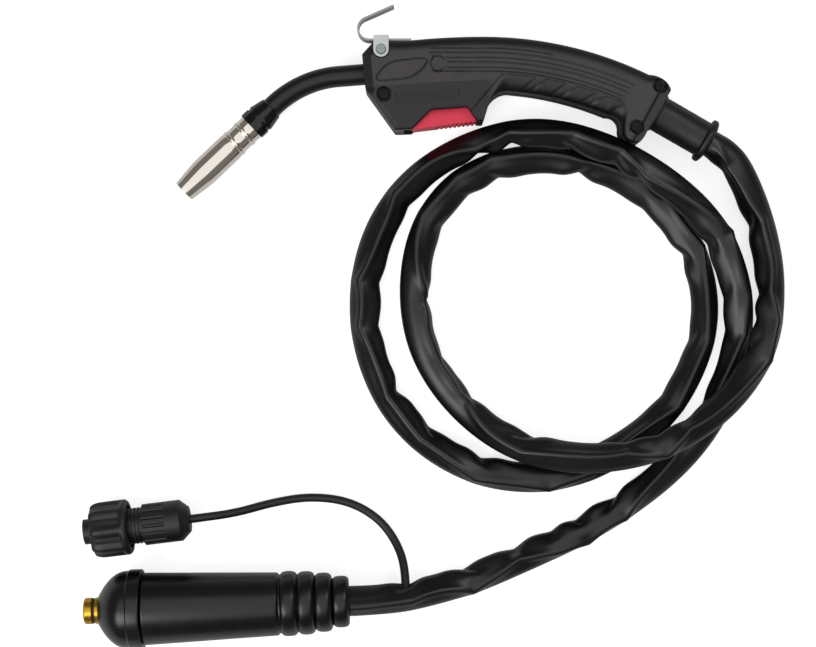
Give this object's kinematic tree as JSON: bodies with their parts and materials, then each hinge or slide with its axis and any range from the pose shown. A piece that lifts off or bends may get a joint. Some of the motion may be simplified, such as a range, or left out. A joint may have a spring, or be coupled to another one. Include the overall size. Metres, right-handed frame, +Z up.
{
  "type": "mig welding torch",
  "caption": "Mig welding torch with a curved two-shell handle, red trigger, swinging hook, bent neck with gas nozzle, looped hose with a power plug, and a control cable with a round plug.",
  "frame": {"origin": "on the flat side of the handle that it lies on, below the point where the curved grip begins", "axes": "+Z up, away from the side that lies down; +X back along the handle, from the nozzle end to the hose; +Y to the hook's side, away from the trigger"},
  "size_m": [0.4127, 0.3773, 0.0464],
  "materials": {
    "nickel_plate": "bright nickel plate, polished",
    "spring_steel": "drawn spring wire",
    "gloss_black_phenolic": "glossy moulded insulator",
    "brass_machined": "turned brass",
    "copper": "turned copper",
    "copper_tube": "drawn copper tube",
    "neck_sleeve_black": "satin black insulating sleeve",
    "liner_steel": "plain steel",
    "handle_charcoal": "fine grained moulded nylon",
    "black_zinc": "blackened steel",
    "spring_steel_strip": "bent spring steel strip",
    "zinc_sheet": "bright zinc plated sheet",
    "zinc_screw": "bright zinc plated screw",
    "trigger_red": "moulded red plastic",
    "switch_black": "moulded switch case",
    "switch_plunger_red": "moulded plunger",
    "lead_insulation": "wire insulation",
    "cable_rubber": "cable jacket",
    "support_black": "satin moulded plastic",
    "hose_sleeve": "soft pressed sleeve with a low sheen",
    "control_cable_black": "smooth cable jacket",
    "boot_rubber": "moulded rubber with a low sheen",
    "nose_black": "hard black plastic",
    "seal_rubber": "moulded seal",
    "control_plug_black": "moulded plastic",
    "insert_black": "moulded insert",
    "contact_silver": "plated contacts"
  },
  "bodies": {
    "torch": {"cable_crimp": "copper", "cable_in_handle": "cable_rubber", "cable_in_plug": "cable_rubber", "cable_seal": "seal_rubber", "cable_socket": "brass_machined", "contact_pins": "contact_silver", "contact_tip": "copper", "control_cable": "control_cable_black", "control_plug_body": "control_plug_black", "gland_nut": "control_plug_black", "handle_shell_lower": "handle_charcoal", "handle_shell_upper": "handle_charcoal", "hook_screws": "zinc_screw", "hose": "hose_sleeve", "hose_support": "support_black", "insulating_collar": "gloss_black_phenolic", "neck_sheath": "neck_sleeve_black", "neck_tube": "copper_tube", "nozzle_spring": "spring_steel", "pin_insert": "insert_black", "pin_seal": "seal_rubber", "plug_boot": "boot_rubber", "plug_nose": "nose_black", "power_block": "brass_machined", "power_pin": "brass_machined", "set_screws": "black_zinc", "shell_screws": "black_zinc", "switch_body": "switch_black", "switch_leads": "lead_insulation", "tip_holder": "brass_machined", "trigger_pin": "liner_steel", "trigger_spring": "spring_steel", "wire_liner": "liner_steel"},
    "trigger": {"trigger": "trigger_red"},
    "plunger": {"switch_plunger": "switch_plunger_red"},
    "nozzle": {"gas_nozzle": "nickel_plate"},
    "hook": {"hook": "spring_steel_strip", "hook_saddle": "zinc_sheet"},
    "coupling_ring": {"coupling_ring": "control_plug_black"}
  },
  "joints": [
    {"name": "trigger_pivot", "type": "hinge", "parent": "torch", "child": "trigger", "pos_m": [-0.0475, -0.027, 0.0165], "axis": [0, 0, 1], "range_deg": [0, 4], "stiffness_Nm_per_rad": 1.5, "springref_deg": -1.72, "deforming": ["trigger_spring"]},
    {"name": "plunger_travel", "type": "slide", "parent": "torch", "child": "plunger", "axis": [0, 1, 0], "range_m": [0, 0.0024]},
    {"name": "nozzle_pull", "type": "slide", "parent": "torch", "child": "nozzle", "axis": [-0.7242, -0.6896, 0], "range_m": [0, 0.058]},
    {"name": "hook_swing", "type": "hinge", "parent": "torch", "child": "hook", "pos_m": [-0.0598, 0.0078, 0.0165], "axis": [0, 0, 1], "range_deg": [0, 20]},
    {"name": "coupling_ring_turn", "type": "hinge", "parent": "torch", "child": "coupling_ring", "pos_m": [-0.21904, -0.27228, 0.0164], "axis": [-0.9924, -0.1229, 0], "continuous": true}
  ],
  "couplings": [
    {"joint": "plunger_travel", "follows": "trigger_pivot", "m_per_rad": 0.0325}
  ]
}
